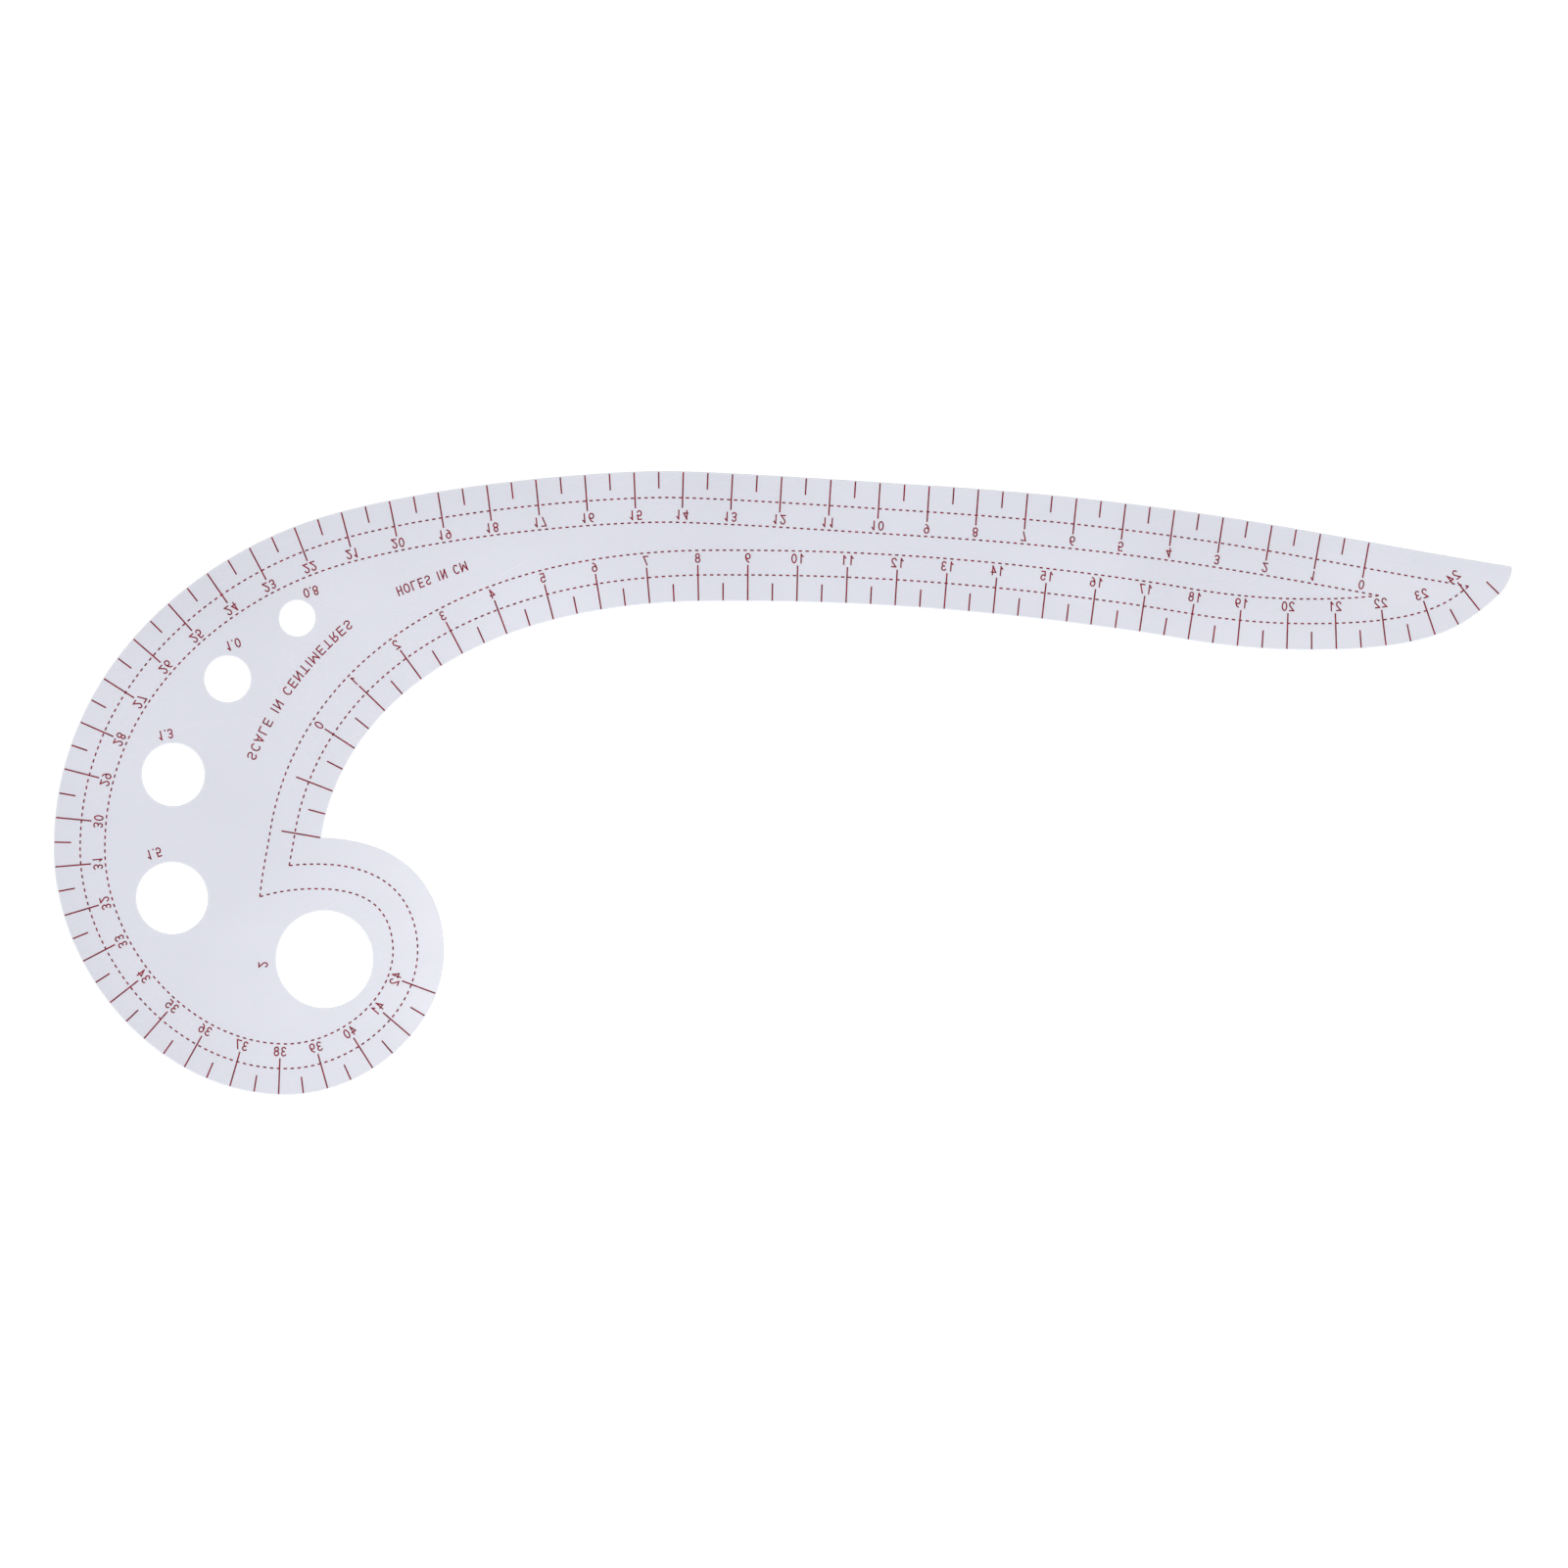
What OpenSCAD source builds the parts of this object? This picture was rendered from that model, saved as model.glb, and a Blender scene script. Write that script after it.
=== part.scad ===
// Comma-shaped french curve: one clear plastic sheet with centimetre scales along both
// edges, two dashed seam-allowance lines, five round stencil holes and generic legends.
// The sheet lies flat with its reading face down and its printed face up, so the print
// is seen from behind and every figure is mirrored.  X runs along the arm to the tip.

/* [Sheet] */
// Length from the outside of the head to the tip
overall_l = 296; // [240:0.5:360]
// Width from the foot of the head to the crest of the arm
overall_w = 126.6; // [105:0.1:155]
// Thickness of the sheet
sheet_t = 1.2; // [0.8:0.1:2]
// Rounding that the cutting die leaves at the notch and at the tip
corner_r = 0.5; // [0.2:0.1:0.9]

/* [Head] */
// Width of the head
head_w = 79.2; // [68:0.1:90]
// Height of the widest point on the outside of the head, above the foot
head_side_h = 50; // [42:0.5:58]
// Distance of the foot from the outside of the head
foot_x = 47.1; // [40:0.1:52]
// Height of the widest point on the bay side of the head, above the foot
head_bay_h = 29.4; // [25:0.1:34]
// Distance of the notch from the outside of the head
notch_x = 54.2; // [48:0.1:60]
// Height of the notch above the foot
notch_h = 52.2; // [46:0.1:60]

/* [Arm] */
// Distance of the crest from the outside of the head
crest_x = 124.3; // [110:0.1:140]
// Width of the arm at its inner bend
arm_w = 26.4; // [22:0.1:32]
// Distance of the inner bend from the outside of the head
bend_x = 134.2; // [120:0.1:150]
// Height of the belly of the arm below the crest
belly_drop = 36.3; // [33:0.1:42]
// Distance of the belly from the tip
belly_back = 41.1; // [34:0.1:50]
// Height of the tip below the crest
tip_drop = 19.4; // [15:0.1:23]

/* [Holes] */
// Diameter of the hole marked 0.8
hole_08_d = 7.4; // [6:0.1:9]
// Diameter of the hole marked 1.0
hole_10_d = 9.5; // [8:0.1:11.5]
// Diameter of the hole marked 1.3
hole_13_d = 12.8; // [10.5:0.1:15.5]
// Diameter of the hole marked 1.5
hole_15_d = 14.6; // [12:0.1:17.5]
// Diameter of the hole marked 2
hole_20_d = 19.8; // [16.5:0.1:24]

/* [Print] */
// Thickness of the ink film
ink_t = 0.04; // [0.02:0.01:0.1]
// Width of the marks and of the dashes
line_w = 0.3; // [0.2:0.01:0.4]
// Width of the strokes of the figures and letters
stroke_w = 0.27; // [0.2:0.01:0.35]
// Distance between the cut edge and the line that the seam allowances start from
cut_margin = 0.35; // [0:0.05:1]
// Distance between the cut edge and the line that the outer scale is measured on
outer_margin = 0.35; // [0:0.05:1]
// Distance between the cut edge and the line that the inner scale is measured on
inner_margin = 1.2; // [0:0.05:2]
// Bare rim between the cut edge and the marks that start at it
rim = 0.15; // [0.05:0.05:0.4]
// Length of a centimetre mark
cm_mark_l = 7.4; // [6:0.1:8]
// Length of a half-centimetre mark on the outer scale
outer_half_l = 3.5; // [2.5:0.1:5]
// Length of a half-centimetre mark on the inner scale
inner_half_l = 3.7; // [2.5:0.1:5]
// Length of a centimetre mark that has no number
lead_mark_l = 8.1; // [7:0.1:9]
// Seam allowance that the near dashed line shows
near_seam = 5; // [4:0.5:6]
// Seam allowance that the far dashed line shows
far_seam = 10; // [9:0.5:12]
// Distance from the start of one dash to the start of the next
dash_step = 1.4; // [1.2:0.01:2]
// Length of one dash
dash_l = 0.7; // [0.5:0.01:1.1]
// Height of the figures and letters
figure_h = 2; // [1.5:0.1:2.4]
// Width of one figure
figure_w = 1.16; // [0.9:0.01:1.4]
// Width of one letter of the scale legend
scale_letter_w = 1.48; // [1.1:0.02:1.7]
// Width of one letter of the hole legend
hole_letter_w = 1.2; // [1:0.02:1.4]
// Distance of the middle of the numbers from the cut edge
figure_depth = 8.8; // [8:0.1:9.2]
// Distance of the scale legend from the inner edge
scale_legend_depth = 18; // [14:0.5:20]
// Distance of the middle of the scale legend from its line's start at the notch
scale_legend_run = 30.7; // [24:0.1:34]
// Distance of the hole legend from the inner edge
hole_legend_depth = 16.5; // [13:0.5:17]
// Distance of the middle of the hole legend from its line's start at the notch
hole_legend_run = 65.6; // [60:0.1:80]
// Angle that the hole legend falls behind the inner edge
hole_legend_turn = 6; // [0:0.5:8]

/* [Scales] */
// Distance of the outer zero from the tip
outer_zero = 29.5; // [20:0.1:40]
// Bare stretch of the outer edge between the last mark and the notch
outer_bare = 42; // [30:1:80]
// Distance of the inner zero from the notch
inner_zero = 20; // [15:0.1:35]
// Bare stretch of the inner edge between the last numbered mark and the tip
inner_bare = 10; // [2:0.5:20]
// Bare stretch of the inner edge between the last half-centimetre mark and the tip
inner_half_bare = 3; // [2:0.5:20]

/* [Hidden] */

SHEET_COLOUR = [0.87, 0.88, 0.92, 0.75];
INK_COLOUR = [0.55, 0.08, 0.18];

cm = 10;
half_cm = 5;
chord = 1.6;          // longest straight step along a curved edge
cut_through = 1;      // how far a punch runs past both faces
corner_steps = 4;
bow_steps = 8;        // straight steps in a half turn of a figure's bow

// ---- the outline ----

function ray(angle) = [cos(angle), sin(angle)];
function left_of(v) = [-v.y, v.x];
function unit(v) = v / norm(v);
function cross_2d(a, b) = a.x * b.y - a.y * b.x;

// A station is [point, heading, pull before, pull after]; a pull is a share of the
// distance to the neighbouring station, and sets how long the curve keeps the heading.
function span_point(a, b, t) =
    let (d = norm(b[0] - a[0]))
    let (a_pull = a[0] + a[3] * d * ray(a[1]))
    let (b_pull = b[0] - b[2] * d * ray(b[1]))
    pow(1 - t, 3) * a[0] + 3 * t * pow(1 - t, 2) * a_pull
        + 3 * t * t * (1 - t) * b_pull + pow(t, 3) * b[0];

function edge_through(stations) = [
    stations[0][0],
    for (k = [0 : len(stations) - 2])
        let (a = stations[k], b = stations[k + 1])
        let (n = ceil(norm(b[0] - a[0]) / chord))
        for (i = [1 : n]) span_point(a, b, i / n)
];

// Places are measured from the outside of the head (x) and from its foot (y).
tip = [overall_l, overall_w - tip_drop];
notch = [notch_x, notch_h];
crest = [crest_x, overall_w];
ridge = crest + [50.7, -2.75];       // where the top of the arm starts its straight fall
shoulder = crest - [69, 9.1];        // where the top of the arm turns down to the head
waist = [overall_l - 74, overall_w - 32.9];  // where the underside swells to the belly
chin = tip - [2.5, 5.5];             // where the belly has come up to the tip

// Along the top of the arm, round the head and into the notch.
outer_stations = [
    [tip, 171, 0, 0.33],
    [ridge, 176.5, 0.47, 0.2],
    [crest, 180, 0.2, 0.2],
    [shoulder, 196.3, 0.33, 0.31],
    [[0, head_side_h], 270, 0.42, 0.36],
    [[foot_x, 0], 360, 0.38, 0.36],
    [[head_w, head_bay_h], 450, 0.38, 0.26],
    [notch, 539, 0.6, 0.35]
];
shoulder_station = 3;
side_station = 4;
foot_station = 5;

// Up the bay, along the underside of the arm, round the belly and up to the tip.
inner_stations = [
    [notch, 81, 0.35, 0.27],
    [[bend_x, overall_w - arm_w], 0, 0.55, 0.2],
    [waist, -8.5, 0.49, 0.2],
    [[overall_l - belly_back, overall_w - belly_drop], 0, 0.48, 0.65],
    [chin, 41.6, 0.24, 0.2],
    [tip, 96.7, 0.25, 0]
];

// Where both edges would run on past the notch, which is how the seam lines meet there.
outer_run_on = [notch - [20, 3.7], 562, 0.35, 0];
inner_run_on = [notch - [2.2, 17], 91, 0, 0.35];

outer_edge = edge_through(outer_stations);
inner_edge = edge_through(inner_stations);

// The heading along an edge at each of its points.
function headings(line) = [
    for (i = [0 : len(line) - 1])
        unit(line[min(i + 1, len(line) - 1)] - line[max(i - 1, 0)])
];

// The line that runs inside an edge at the same distance everywhere.
function line_inside(edge, depth) =
    let (along = headings(edge))
    [for (i = [0 : len(edge) - 1]) edge[i] + depth * left_of(along[i])];

// The points that round a corner where one line arrives and another leaves.
function rounded_corner(before, corner, after) =
    let (a = corner + corner_r * unit(before - corner))
    let (b = corner + corner_r * unit(after - corner))
    [for (i = [0 : corner_steps])
        let (t = i / corner_steps)
        pow(1 - t, 2) * a + 2 * t * (1 - t) * corner + t * t * b];

function inner_part(line) = [for (i = [1 : len(line) - 2]) line[i]];
function last(line) = line[len(line) - 1];

outline = concat(
    inner_part(outer_edge),
    rounded_corner(outer_edge[len(outer_edge) - 2], notch, inner_edge[1]),
    inner_part(inner_edge),
    rounded_corner(inner_edge[len(inner_edge) - 2], tip, outer_edge[1])
);

// ---- rulers: places along a line by the distance run ----

function runs(line, i = 0, run = 0) =
    i >= len(line) ? [] : concat(
        [run],
        runs(line, i + 1, run + (i + 1 < len(line) ? norm(line[i + 1] - line[i]) : 0))
    );

// A ruler holds x, y and the two parts of the inward direction against the run, for a
// line that lies a margin inside the edge that depths are measured from.
function ruler(line, margin = 0) =
    let (run = runs(line))
    let (inward = [for (h = headings(line)) left_of(h)])
    let (values = [for (i = [0 : len(line) - 1]) concat(line[i], inward[i])])
    concat([for (k = [0 : 3]) [for (i = [0 : len(line) - 1]) [run[i], values[i][k]]]], margin);

function ruler_length(r) = last(r[0])[0];
function place(r, run) = [lookup(run, r[0]), lookup(run, r[1])];
function inward(r, run) = unit([lookup(run, r[2]), lookup(run, r[3])]);

outer_ruler = ruler(line_inside(outer_edge, outer_margin), outer_margin);
inner_ruler = ruler(line_inside(inner_edge, inner_margin), inner_margin);

// Draws its children at a place on a ruler, mirrored, with their up side inwards.
module at_run(r, run, depth = 0) {
    way = inward(r, run);
    spot = place(r, run) + (depth - r[4]) * way;
    translate(spot)
        rotate(atan2(way.y, way.x) - 90)
            mirror([1, 0])
                children();
}

// ---- holes ----

// [label, diameter, outer station before it, share of the way on to the next station,
//  sheet left outside it, direction of the label, gap from rim to label, way the
//  label's top points]
holes = [
    ["0.8", hole_08_d, shoulder_station, 0.172, 13.6, 63, 2.4, -74],
    ["1.0", hole_10_d, shoulder_station, 0.437, 14.8, 81, 2.4, -70],
    ["1.3", hole_13_d, shoulder_station, 0.776, 15.2, 101, 1.9, -78],
    ["1.5", hole_15_d, side_station, 0.252, 14.6, 112, 2.5, -73],
    ["2", hole_20_d, foot_station, 0.64, 13.5, 185, 2.6, 2]
];

// The heading at a share of the way between two stations, from a short step around it.
function span_heading(a, b, t, step = 0.01) =
    unit(span_point(a, b, t + step / 2) - span_point(a, b, t - step / 2));

function hole_centre(hole) =
    let (a = outer_stations[hole[2]], b = outer_stations[hole[2] + 1])
    span_point(a, b, hole[3])
        + (hole[4] + hole[1] / 2) * left_of(span_heading(a, b, hole[3]));

// ---- figures and letters: centre lines in a cell from -1 to 1 both ways ----

function bow(x, y, rx, ry, from, to) =
    let (n = ceil(abs(to - from) / 180 * bow_steps))
    [for (i = [0 : n]) let (a = from + (to - from) * i / n) [x + rx * cos(a), y + ry * sin(a)]];

function turned(strokes) = [for (s = strokes) [for (p = s) -p]];

six = [bow(0, -0.4, 1, 0.6, 0, 360), bow(0.7, -0.4, 1.7, 1.4, 168, 100)];

glyphs = [
    ["0", [bow(0, 0, 1, 1, 0, 360)]],
    ["1", [[[-0.7, 0.5], [0.1, 1]], [[0.1, 1], [0.1, -1]]]],
    ["2", [concat(bow(0, 0.42, 0.95, 0.58, 165, -35), [[-0.9, -1]]), [[-0.9, -1], [0.95, -1]]]],
    ["3", [concat(bow(0, 0.5, 0.85, 0.5, 150, -90), [[-0.25, 0]]),
        concat([[-0.25, 0]], bow(0, -0.5, 0.95, 0.5, 90, -150))]],
    ["4", [[[0.45, 1], [-0.95, -0.4]], [[-0.95, -0.4], [1, -0.4]], [[0.45, 1], [0.45, -1]]]],
    ["5", [[[0.8, 1], [-0.65, 1]], [[-0.65, 1], [-0.85, 0.05]],
        bow(0, -0.4, 0.95, 0.6, 140, -150)]],
    ["6", six],
    ["7", [[[-0.95, 1], [0.95, 1]], [[0.95, 1], [-0.3, -1]]]],
    ["8", [bow(0, 0.5, 0.8, 0.5, 0, 360), bow(0, -0.45, 0.95, 0.55, 0, 360)]],
    ["9", turned(six)],
    [".", [[[0, -1], [0, -0.95]]]],
    ["A", [[[-1, -1], [0, 1]], [[0, 1], [1, -1]], [[-0.6, -0.35], [0.6, -0.35]]]],
    ["C", [bow(0.1, 0, 1.05, 1, 50, 310)]],
    ["E", [[[-0.8, 1], [-0.8, -1]], [[-0.8, 1], [0.9, 1]], [[-0.8, 0], [0.7, 0]],
        [[-0.8, -1], [0.9, -1]]]],
    ["H", [[[-0.9, 1], [-0.9, -1]], [[0.9, 1], [0.9, -1]], [[-0.9, 0], [0.9, 0]]]],
    ["I", [[[0, 1], [0, -1]]]],
    ["L", [[[-0.8, 1], [-0.8, -1]], [[-0.8, -1], [0.9, -1]]]],
    ["M", [[[-1.2, -1], [-1.2, 1]], [[-1.2, 1], [0, -0.4]], [[0, -0.4], [1.2, 1]],
        [[1.2, 1], [1.2, -1]]]],
    ["N", [[[-0.9, -1], [-0.9, 1]], [[-0.9, 1], [0.9, -1]], [[0.9, -1], [0.9, 1]]]],
    ["O", [bow(0, 0, 1.1, 1, 0, 360)]],
    ["R", [[[-0.8, -1], [-0.8, 1]], concat([[-0.8, 1]], bow(0.1, 0.5, 0.8, 0.5, 90, -90), [[-0.8, 0]]),
        [[0.1, 0], [0.9, -1]]]],
    ["S", [concat(bow(0, 0.5, 0.85, 0.5, 30, 270), bow(0, -0.5, 0.95, 0.5, 80, -150))]],
    ["T", [[[-1, 1], [1, 1]], [[0, 1], [0, -1]]]]
];

function glyph(sign) = [for (g = glyphs) if (g[0] == sign) each g[1]];

// Room that a sign takes along its line with the gap to its neighbours, in sign widths.
function room(sign) =
    sign == "." ? 0.4 : sign == " " ? 0.95 : sign == "I" ? 0.65 : sign == "M" ? 1.5 : 1.27;

function room_before(word, n) = n == 0 ? 0 : room_before(word, n - 1) + room(word[n - 1]);
function sign_x(word, i, width) =
    width * (room_before(word, i) + room(word[i]) / 2 - room_before(word, len(word)) / 2);

// One side of a stroke, sign 1 for the left side and -1 for the right one.
function stroke_side(line, sign) = [
    for (i = [0 : len(line) - 1])
        let (a = left_of(unit(line[max(i, 1)] - line[max(i - 1, 0)])))
        let (b = left_of(unit(line[min(i + 1, len(line) - 1)] - line[min(i, len(line) - 2)])))
        line[i] + sign * stroke_w / 2 * (a + b) / (1 + a * b)
];

function backwards(line) = [for (i = [len(line) - 1 : -1 : 0]) line[i]];

// A stroke's ends reach half its width past its centre line.
function with_ends(line) = concat(
    [line[0] - stroke_w / 2 * unit(line[1] - line[0])],
    inner_part(line),
    [last(line) + stroke_w / 2 * unit(last(line) - line[len(line) - 2])]
);

// A closed loop's line overlaps itself by one step, so its joint is as smooth as the rest.
function loop_side(line, sign) = inner_part(
    stroke_side(concat([line[len(line) - 2]], line, [line[1]]), sign)
);

module stroke(line) {
    if (norm(last(line) - line[0]) < stroke_w / 10) {
        difference() {
            polygon(inner_part(concat([line[0]], loop_side(line, -1))));
            polygon(inner_part(concat([line[0]], loop_side(line, 1))));
        }
    } else {
        ended = with_ends(line);
        polygon(concat(stroke_side(ended, 1), backwards(stroke_side(ended, -1))));
    }
}

module sign_shape(sign, width) {
    reach = [(width - stroke_w) / 2, (figure_h - stroke_w) / 2];
    for (line = glyph(sign))
        stroke([for (p = line) [p.x * reach.x, p.y * reach.y]]);
}

module word_shape(word, width = figure_w) {
    for (i = [0 : len(word) - 1])
        translate([sign_x(word, i, width), 0])
            sign_shape(word[i], width);
}

// ---- marks, numbers and dashed lines, flat ----

module mark(r, run, length) {
    at_run(r, run, rim)
        translate([-line_w / 2, 0])
            square([line_w, length - rim]);
}

// How many centimetres fit on a ruler between its zero and its bare end.
function last_mark(r, zero, bare) = floor((ruler_length(r) - zero - bare) / cm);

outer_last = last_mark(outer_ruler, outer_zero, outer_bare);
inner_last = last_mark(inner_ruler, inner_zero, inner_bare);
inner_half_last = last_mark(inner_ruler, inner_zero + half_cm, inner_half_bare);
// The inner scale starts with marks that have no number; one less than a millimetre
// short of the notch stands at the notch itself.
inner_leads = floor((inner_zero + 1) / cm);

module outer_cm_shape() {
    for (n = [0 : outer_last]) mark(outer_ruler, outer_zero + n * cm, cm_mark_l);
}

module outer_half_shape() {
    for (n = [0 : outer_last - 1])
        mark(outer_ruler, outer_zero + n * cm + half_cm, outer_half_l);
}

module outer_number_shape() {
    for (n = [0 : outer_last])
        at_run(outer_ruler, outer_zero + n * cm, figure_depth)
            word_shape(str(n));
}

module inner_cm_shape() {
    for (n = [-inner_leads : inner_last])
        mark(inner_ruler, max(inner_zero + n * cm, 0), n < 0 ? lead_mark_l : cm_mark_l);
}

module inner_half_shape() {
    for (n = [-inner_leads : inner_half_last])
        mark(inner_ruler, inner_zero + n * cm + half_cm, inner_half_l);
}

module inner_number_shape() {
    for (n = [0 : inner_last])
        at_run(inner_ruler, inner_zero + n * cm, figure_depth)
            word_shape(str(n));
}

// Where segment a-b meets segment c-d, as a share of a-b, or -1.
function meeting(a, b, c, d) =
    let (k = cross_2d(b - a, d - c))
    let (t = cross_2d(c - a, d - c) / k, u = cross_2d(c - a, b - a) / k)
    k != 0 && t >= 0 && t <= 1 && u >= 0 && u <= 1 ? t : -1;

// All crossings of two lines: [segment of a, segment of b, point].
function crossings(a, b) = [
    for (i = [0 : len(a) - 2], j = [0 : len(b) - 2])
        let (t = meeting(a[i], a[i + 1], b[j], b[j + 1]))
        if (t >= 0) [i, j, a[i] + t * (a[i + 1] - a[i])]
];

// The two halves of a seam line: from the tip round the head to the notch, and back
// along the inner edge.  They are parallel to the edges and end where they cross.
function seam_halves(allowance) =
    let (depth = allowance + cut_margin)
    let (outer = line_inside(edge_through(concat(outer_stations, [outer_run_on])), depth))
    let (inner = line_inside(edge_through(concat([inner_run_on], inner_stations)), depth))
    let (found = crossings(outer, inner))
    let (at_tip = last([for (c = found) if (c[0] < len(outer) / 2) c]))
    let (at_notch = [for (c = found) if (c[0] > len(outer) / 2) c][0])
    [
        concat([at_tip[2]], [for (i = [at_tip[0] + 1 : at_notch[0]]) outer[i]], [at_notch[2]]),
        concat([at_notch[2]], [for (i = [at_notch[1] + 1 : at_tip[1]]) inner[i]], [at_tip[2]])
    ];

module dashes(line) {
    r = ruler(line);
    count = round((ruler_length(r) - dash_l) / dash_step);
    step = (ruler_length(r) - dash_l) / count;
    for (i = [0 : count])
        at_run(r, i * step + dash_l / 2)
            square([dash_l, line_w], center = true);
}

module seam_shape(allowance) {
    difference() {
        union() {
            for (half = seam_halves(allowance)) dashes(half);
        }
        outer_cm_shape();
        inner_cm_shape();
        outer_number_shape();
        inner_number_shape();
    }
}

// The scale legend bends with the inner edge; its letters have their up side towards it.
module scale_legend_shape() {
    word = "SCALE IN CENTIMETRES";
    r = ruler(line_inside(inner_edge, scale_legend_depth));
    for (i = [0 : len(word) - 1])
        at_run(r, scale_legend_run + sign_x(word, i, scale_letter_w))
            rotate(180)
                sign_shape(word[i], scale_letter_w);
}

// The hole legend is straight.
module hole_legend_shape() {
    at_run(ruler(line_inside(inner_edge, hole_legend_depth)), hole_legend_run)
        rotate(180 + hole_legend_turn)
            word_shape("HOLES IN CM", hole_letter_w);
}

module hole_label_shape() {
    for (hole = holes)
        translate(hole_centre(hole) + (hole[1] / 2 + hole[6]) * ray(hole[5]))
            rotate(hole[7] - 90)
                mirror([1, 0])
                    word_shape(hole[0]);
}

// ---- the pieces ----

// Moves the drawing so that the middle of the sheet is over the origin.
module centred() {
    translate([-overall_l / 2, -overall_w / 2, 0]) children();
}

module ink() {
    color(INK_COLOUR)
        centred()
            translate([0, 0, sheet_t])
                linear_extrude(ink_t)
                    children();
}

module curve_sheet() {
    color(SHEET_COLOUR)
        centred()
            difference() {
                linear_extrude(sheet_t) polygon(outline);
                for (hole = holes)
                    translate(concat(hole_centre(hole), -cut_through))
                        cylinder(d = hole[1], h = sheet_t + 2 * cut_through, $fn = 96);
            }
}

module outer_cm_marks() { ink() outer_cm_shape(); }
module outer_half_marks() { ink() outer_half_shape(); }
module outer_numbers() { ink() outer_number_shape(); }
module inner_cm_marks() { ink() inner_cm_shape(); }
module inner_half_marks() { ink() inner_half_shape(); }
module inner_numbers() { ink() inner_number_shape(); }
module near_seam_line() { ink() seam_shape(near_seam); }
module far_seam_line() { ink() seam_shape(far_seam); }
module hole_labels() { ink() hole_label_shape(); }
module scale_legend() { ink() scale_legend_shape(); }
module hole_legend() { ink() hole_legend_shape(); }

curve_sheet();
outer_cm_marks();
outer_half_marks();
outer_numbers();
inner_cm_marks();
inner_half_marks();
inner_numbers();
near_seam_line();
far_seam_line();
hole_labels();
scale_legend();
hole_legend();
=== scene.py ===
import math

import bpy
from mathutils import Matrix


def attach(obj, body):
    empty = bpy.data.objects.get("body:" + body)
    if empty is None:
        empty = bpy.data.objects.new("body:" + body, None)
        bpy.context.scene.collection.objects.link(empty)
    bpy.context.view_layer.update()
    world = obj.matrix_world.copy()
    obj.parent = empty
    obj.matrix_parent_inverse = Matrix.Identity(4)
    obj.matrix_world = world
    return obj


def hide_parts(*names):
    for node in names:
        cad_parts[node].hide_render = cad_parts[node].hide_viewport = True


mm = 0.001
noiseSpan = (0.35, 0.65)  # a noise texture seldom leaves these values

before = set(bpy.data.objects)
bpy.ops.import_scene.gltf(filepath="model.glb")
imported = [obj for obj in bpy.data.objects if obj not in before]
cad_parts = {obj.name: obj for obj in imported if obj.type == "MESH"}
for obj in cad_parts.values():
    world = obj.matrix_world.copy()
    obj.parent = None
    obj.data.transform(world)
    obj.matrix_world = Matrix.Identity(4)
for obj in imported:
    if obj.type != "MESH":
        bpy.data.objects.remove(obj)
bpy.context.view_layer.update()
print("frame loaded:", len(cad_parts), "nodes")


def srgb(hexColour):  # to the linear colour that a shader takes
    parts = [int(hexColour[i:i + 2], 16) / 255 for i in (1, 3, 5)]
    linear = [p / 12.92 if p <= 0.04045 else ((p + 0.055) / 1.055) ** 2.4 for p in parts]
    return (*linear, 1.0)


def newMaterial(name):
    material = bpy.data.materials.new(name)
    material.use_nodes = True
    material.node_tree.nodes.clear()
    return material


def addNode(material, kind, settings, links=None):  # a setting is a property or an input
    node = material.node_tree.nodes.new(kind)
    for name, value in settings.items():
        if isinstance(name, str) and hasattr(node, name):
            setattr(node, name, value)
        else:
            node.inputs[name].default_value = value
    for name, source in (links or {}).items():
        material.node_tree.links.new(source, node.inputs[name])
    return node


def selectOnly(piece):
    bpy.ops.object.select_all(action="DESELECT")
    piece.select_set(True)
    bpy.context.view_layer.objects.active = piece


def copyOfNode(nodeName, pieceName, settings):  # a CAD mesh is loose triangles: merge them
    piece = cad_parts[nodeName].copy()
    piece.data = piece.data.copy()
    piece.name = piece.data.name = pieceName
    piece.parent = None
    for key in [k for k in piece.keys() if k.startswith("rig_")]:
        del piece[key]
    bpy.context.scene.collection.objects.link(piece)
    selectOnly(piece)
    bpy.ops.object.mode_set(mode="EDIT")
    bpy.ops.mesh.select_all(action="SELECT")
    bpy.ops.mesh.remove_doubles(threshold=settings["mergeDistance"])
    bpy.ops.mesh.dissolve_limited(angle_limit=math.radians(settings["flatAngle"]))
    bpy.ops.object.mode_set(mode="OBJECT")
    return piece


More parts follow.
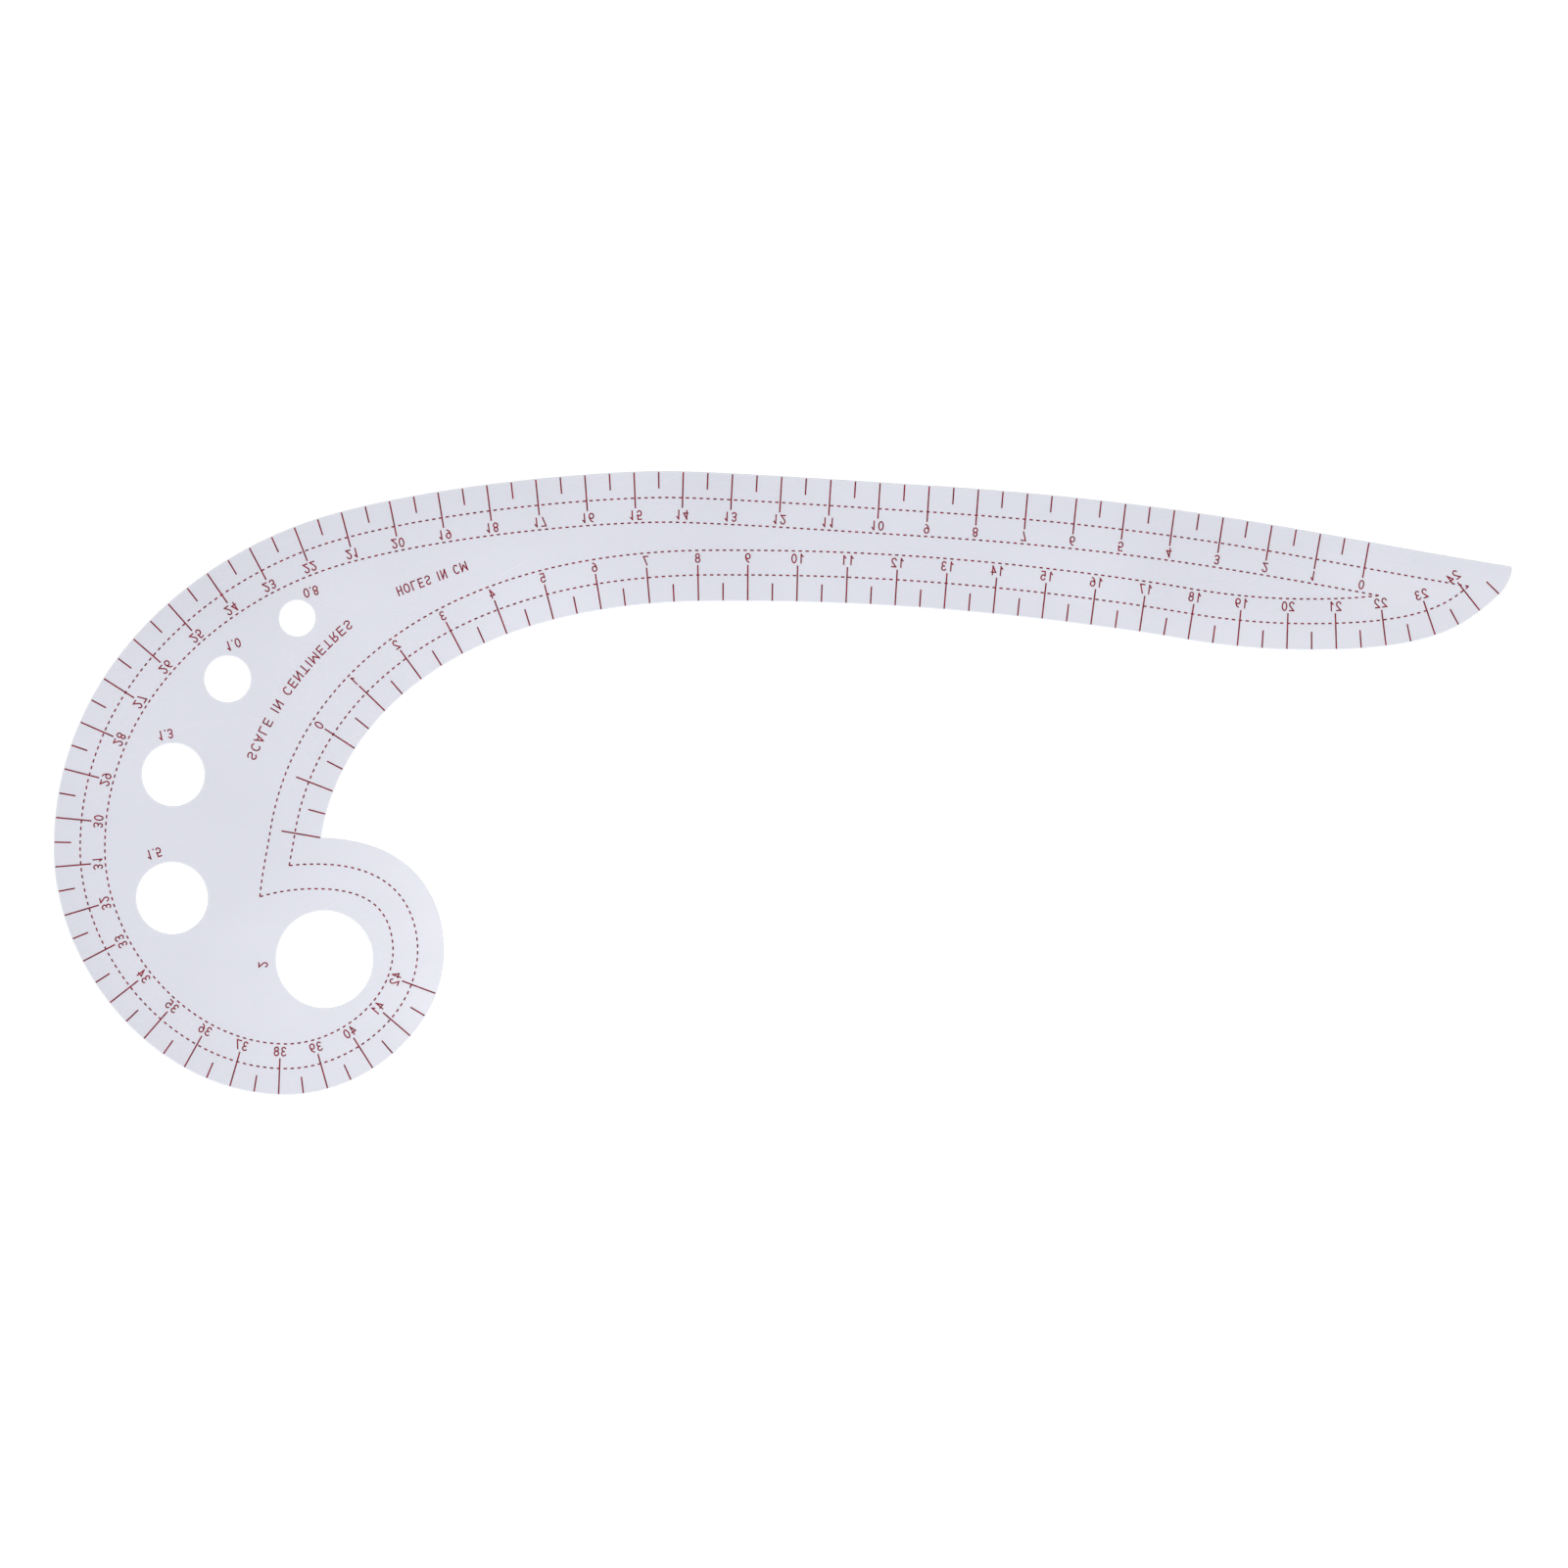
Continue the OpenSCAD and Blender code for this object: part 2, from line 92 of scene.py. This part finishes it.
# Plasticised PVC, calendered between polished rolls: cloudy-clear with a faint
# blue-grey cast, a soft even gloss and a very slight ripple along the rolling direction.
def rolledVinyl(settings):
    vinyl = newMaterial("calendered translucent PVC")
    place = addNode(vinyl, "ShaderNodeTexCoord", {}).outputs["Object"]
    clouds = addNode(vinyl, "ShaderNodeTexNoise", {
        "Scale": 1 / settings["cloudSize"], "Detail": 3.0, "Roughness": 0.45,
    }, {"Vector": place})
    share = addNode(vinyl, "ShaderNodeMapRange", {
        "From Min": noiseSpan[0], "From Max": noiseSpan[1],
    }, {"Value": clouds.outputs["Fac"]})
    cast = addNode(vinyl, "ShaderNodeMix", {  # input 0 is the share, 6 and 7 the colours
        "data_type": "RGBA", 6: srgb(settings["deepTint"]), 7: srgb(settings["paleTint"]),
    }, {0: share.outputs["Result"]})

    alongRoll = addNode(vinyl, "ShaderNodeMapping", {
        "vector_type": "TEXTURE",
        "Scale": (settings["rippleLength"], settings["rippleWidth"], 1.0),
    }, {"Vector": place})
    ripple = addNode(vinyl, "ShaderNodeTexNoise", {
        "Scale": 1.0, "Detail": 1.5, "Roughness": 0.4,
    }, {"Vector": alongRoll.outputs["Vector"]})

    # Hairline rubs from handling: long thin streaks, mostly absent.
    alongRub = addNode(vinyl, "ShaderNodeMapping", {
        "vector_type": "TEXTURE", "Rotation": (0, 0, math.radians(settings["rubTurn"])),
        "Scale": (settings["rubLength"], settings["rubWidth"], 1.0),
    }, {"Vector": place})
    rubs = addNode(vinyl, "ShaderNodeTexNoise", {
        "Scale": 1.0, "Detail": 0.0,
    }, {"Vector": alongRub.outputs["Vector"]})
    rubbed = addNode(vinyl, "ShaderNodeMapRange", {
        "From Min": settings["rubSpan"][0], "From Max": settings["rubSpan"][1],
    }, {"Value": rubs.outputs["Fac"]})

    grain = addNode(vinyl, "ShaderNodeTexNoise", {
        "Scale": 1 / settings["grainSize"], "Detail": 2.0,
    }, {"Vector": place})
    gloss = addNode(vinyl, "ShaderNodeMapRange", {
        "From Min": settings["rippleSpan"][0], "From Max": settings["rippleSpan"][1],
        "To Min": settings["glossiest"], "To Max": settings["dullest"],
    }, {"Value": ripple.outputs["Fac"]})
    dulled = addNode(vinyl, "ShaderNodeMath", {  # rubs times their dulling, plus the gloss
        "operation": "MULTIPLY_ADD", 1: settings["rubDulling"],
    }, {0: rubbed.outputs["Result"], 2: gloss.outputs["Result"]})

    height = addNode(vinyl, "ShaderNodeMath", {
        "operation": "MULTIPLY_ADD", 1: settings["grainShare"],
    }, {0: grain.outputs["Fac"], 2: ripple.outputs["Fac"]})
    surface = addNode(vinyl, "ShaderNodeBump", {
        "Strength": 1.0, "Distance": settings["rippleHeight"],
    }, {"Height": height.outputs["Value"]})
    shader = addNode(vinyl, "ShaderNodeBsdfPrincipled", {
        "IOR": settings["bendOfLight"], "Alpha": settings["solidity"],
    }, {
        "Base Color": cast.outputs[2], "Roughness": dulled.outputs["Value"],
        "Normal": surface.outputs["Normal"],
    })
    addNode(vinyl, "ShaderNodeOutputMaterial", {}, {"Surface": shader.outputs["BSDF"]})
    return vinyl


# The same PVC where the cutting die went through: duller, a shade paler, with fine drag
# lines down the wall.
def dieCutWall(settings):
    wall = newMaterial("die-cut PVC edge")
    place = addNode(wall, "ShaderNodeTexCoord", {}).outputs["Object"]
    downWall = addNode(wall, "ShaderNodeMapping", {
        "vector_type": "TEXTURE",
        "Scale": (settings["dragWidth"], settings["dragWidth"], settings["dragLength"]),
    }, {"Vector": place})
    drag = addNode(wall, "ShaderNodeTexNoise", {
        "Scale": 1.0, "Detail": 2.0,
    }, {"Vector": downWall.outputs["Vector"]})
    shade = addNode(wall, "ShaderNodeMix", {
        "data_type": "RGBA", 6: srgb(settings["wallDeep"]), 7: srgb(settings["wallPale"]),
    }, {0: drag.outputs["Fac"]})
    dull = addNode(wall, "ShaderNodeMapRange", {
        "To Min": settings["wallGlossiest"], "To Max": settings["wallDullest"],
    }, {"Value": drag.outputs["Fac"]})
    lines = addNode(wall, "ShaderNodeBump", {
        "Strength": 1.0, "Distance": settings["dragDepth"],
    }, {"Height": drag.outputs["Fac"]})
    shader = addNode(wall, "ShaderNodeBsdfPrincipled", {
        "IOR": settings["bendOfLight"], "Alpha": settings["wallSolidity"],
    }, {
        "Base Color": shade.outputs[2], "Roughness": dull.outputs["Result"],
        "Normal": lines.outputs["Normal"],
    })
    addNode(wall, "ShaderNodeOutputMaterial", {}, {"Surface": shader.outputs["BSDF"]})
    return wall


sheet = {
    "mergeDistance": 0.001 * mm, "flatAngle": 0.1,
    "edgeRound": 0.22 * mm, "edgeSteps": 4, "edgeAngle": 50, "smoothAngle": 40,
    "levelFace": 0.999,  # how straight up or down a face points that is not a wall
    "bendOfLight": 1.53,
    "deepTint": "#BCBDC6", "paleTint": "#C3C4CD", "solidity": 0.78, "cloudSize": 55 * mm,
    "rippleLength": 70 * mm, "rippleWidth": 16 * mm, "rippleHeight": 0.05 * mm,
    "rippleSpan": (0.3, 0.7), "glossiest": 0.21, "dullest": 0.3,
    "grainSize": 0.9 * mm, "grainShare": 0.04,
    "rubTurn": 28, "rubLength": 22 * mm, "rubWidth": 0.5 * mm, "rubSpan": (0.72, 0.78),
    "rubDulling": 0.01,
    "wallDeep": "#C6C8CF", "wallPale": "#D2D4DA", "wallSolidity": 0.85,
    "wallGlossiest": 0.38, "wallDullest": 0.6,
    "dragWidth": 0.3 * mm, "dragLength": 5 * mm, "dragDepth": 0.03 * mm,
}

vinylSheet = copyOfNode("curve_sheet", "die_cut_sheet", sheet)
rounding = vinylSheet.modifiers.new("die edge", "BEVEL")
rounding.width = sheet["edgeRound"]
rounding.segments = sheet["edgeSteps"]
rounding.limit_method = "ANGLE"
rounding.angle_limit = math.radians(sheet["edgeAngle"])
bpy.ops.object.modifier_apply(modifier=rounding.name)
bpy.ops.object.shade_smooth_by_angle(angle=math.radians(sheet["smoothAngle"]))
evenShade = vinylSheet.modifiers.new("flat faces stay flat", "WEIGHTED_NORMAL")
evenShade.keep_sharp = True
bpy.ops.object.modifier_apply(modifier=evenShade.name)

vinylSheet.data.materials.clear()
vinylSheet.data.materials.append(rolledVinyl(sheet))
vinylSheet.data.materials.append(dieCutWall(sheet))
for face in vinylSheet.data.polygons:
    face.material_index = 0 if abs(face.normal.z) > sheet["levelFace"] else 1
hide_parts("curve_sheet")
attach(vinylSheet, "root")
print("sheet:", len(vinylSheet.data.polygons), "faces, edges rounded")


# Solvent vinyl screen ink: a thin dull film, its density uneven from the squeegee, with
# the screen's thread pattern left in its surface (drawn coarser than the real 0.1 mm).
def screenInk(name, settings):
    ink = newMaterial(name)
    place = addNode(ink, "ShaderNodeTexCoord", {}).outputs["Object"]
    patches = addNode(ink, "ShaderNodeTexNoise", {
        "Scale": 1 / settings["patchSize"], "Detail": 3.0,
    }, {"Vector": place})
    density = addNode(ink, "ShaderNodeMapRange", {
        "From Min": noiseSpan[0], "From Max": noiseSpan[1],
    }, {"Value": patches.outputs["Fac"]})
    colour = addNode(ink, "ShaderNodeMix", {
        "data_type": "RGBA", 6: srgb(settings["thinInk"]), 7: srgb(settings["fullInk"]),
    }, {0: density.outputs["Result"]})
    threads = addNode(ink, "ShaderNodeTexVoronoi", {
        "Scale": 1 / inkFilm["threadPitch"], "Randomness": inkFilm["threadUnevenness"],
    }, {"Vector": place})
    dull = addNode(ink, "ShaderNodeMapRange", {
        "To Min": inkFilm["glossiest"], "To Max": inkFilm["dullest"],
    }, {"Value": patches.outputs["Fac"]})
    surface = addNode(ink, "ShaderNodeBump", {
        "Strength": inkFilm["threadStrength"], "Distance": inkFilm["threadDepth"],
    }, {"Height": threads.outputs["Distance"]})
    shader = addNode(ink, "ShaderNodeBsdfPrincipled", {
        "IOR": inkFilm["bendOfLight"], "Specular IOR Level": inkFilm["glossShare"],
    }, {
        "Base Color": colour.outputs[2], "Roughness": dull.outputs["Result"],
        "Normal": surface.outputs["Normal"],
    })
    addNode(ink, "ShaderNodeOutputMaterial", {}, {"Surface": shader.outputs["BSDF"]})
    return ink


inkFilm = {
    "threadPitch": 0.3 * mm, "threadDepth": 0.012 * mm, "threadStrength": 0.6,
    "threadUnevenness": 0.25,
    "bendOfLight": 1.5, "glossShare": 0.15, "glossiest": 0.42, "dullest": 0.6,
}

printLayers = {
    "scales": {
        "nodes": ["outer_cm_marks", "outer_half_marks", "inner_cm_marks", "inner_half_marks"],
        "thinInk": "#7E0F29", "fullInk": "#5C0619", "patchSize": 1.4 * mm,
    },
    "figures": {
        "nodes": ["outer_numbers", "inner_numbers", "hole_labels", "scale_legend", "hole_legend"],
        "thinInk": "#800D29", "fullInk": "#5E0418", "patchSize": 0.8 * mm,
    },
    "seams": {
        "nodes": ["near_seam_line", "far_seam_line"],
        "thinInk": "#7A102C", "fullInk": "#5A071C", "patchSize": 2.2 * mm,
    },
}

for layer, settings in printLayers.items():
    ink = screenInk("vinyl screen ink, " + layer, settings)
    for nodeName in settings["nodes"]:
        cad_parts[nodeName].data.materials.clear()
        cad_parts[nodeName].data.materials.append(ink)
    print("print:", layer, "inked on", len(settings["nodes"]), "nodes")


# Uncoated background paper: matt white, with a fine tooth and no shine.
def backgroundPaper(settings):
    paper = newMaterial("matt white background paper")
    place = addNode(paper, "ShaderNodeTexCoord", {}).outputs["Object"]
    tooth = addNode(paper, "ShaderNodeTexNoise", {
        "Scale": 1 / settings["toothSize"], "Detail": 2.0,
    }, {"Vector": place})
    surface = addNode(paper, "ShaderNodeBump", {
        "Distance": settings["toothHeight"],
    }, {"Height": tooth.outputs["Fac"]})
    shader = addNode(paper, "ShaderNodeBsdfPrincipled", {
        "Base Color": srgb(settings["colour"]), "Roughness": settings["dullness"],
    }, {"Normal": surface.outputs["Normal"]})
    addNode(paper, "ShaderNodeOutputMaterial", {}, {"Surface": shader.outputs["BSDF"]})
    return paper


floorPaper = {
    "size": 14.0, "drop": 0.03 * mm, "colour": "#F2F2F2", "dullness": 0.9,
    "toothSize": 2.5 * mm, "toothHeight": 0.01 * mm,
}

bpy.ops.object.select_all(action="DESELECT")
bpy.ops.mesh.primitive_plane_add(size=floorPaper["size"], location=(0, 0, -floorPaper["drop"]))
floor = bpy.context.object
floor.name = "studio_floor"
floor.data.materials.append(backgroundPaper(floorPaper))
print("floor:", floorPaper["size"], "m of paper")

studio = {
    "skyColour": "#FFFFFF", "skyStrength": 0.8,
    "frameWidth": 318.3 * mm, "frameShift": 0.19 * mm,
    "lens": 500.0, "sensor": 36.0,  # in mm: far off and narrow, so that nothing tapers
}

softboxes = {  # the side one lights the floor, the others put a soft gleam on the sheet
    "side_softbox": {"place": (0.0, -0.8, 1.25), "size": 1.2, "power": 13.0, "shadow": False},
    "top_softbox": {"place": (0.02, 0.05, 0.9), "size": 0.25, "power": 0.25, "shadow": True},
    "near_softbox": {"place": (-0.05, -0.035, 0.42), "size": 0.07, "power": 0.2, "shadow": True},
    "tip_softbox": {"place": (0.135, 0.03, 0.42), "size": 0.07, "power": 0.08, "shadow": True},
}

sky = bpy.data.worlds.new("even studio light")
bpy.context.scene.world = sky
sky.use_nodes = True
background = sky.node_tree.nodes["Background"]
background.inputs["Color"].default_value = srgb(studio["skyColour"])
background.inputs["Strength"].default_value = studio["skyStrength"]

for name, softbox in softboxes.items():
    bpy.ops.object.light_add(type="AREA", location=softbox["place"])
    lamp = bpy.context.object
    lamp.name = name
    lamp.data.shape = "DISK"
    lamp.data.size = softbox["size"]
    lamp.data.energy = softbox["power"]
    lamp.data.use_shadow = softbox["shadow"]
    lamp.rotation_euler = (-lamp.location).to_track_quat("-Z", "Y").to_euler()
    lamp.visible_camera = False

shift = studio["frameShift"]
cameraHeight = studio["frameWidth"] * studio["lens"] / studio["sensor"]
bpy.ops.object.camera_add(location=(shift, -shift, cameraHeight), rotation=(0, 0, 0))
camera = bpy.context.object
camera.data.lens = studio["lens"]
camera.data.sensor_width = studio["sensor"]
bpy.context.scene.camera = camera
bpy.context.scene.view_settings.view_transform = "Standard"
print("studio: sky,", len(softboxes), "softboxes and camera")
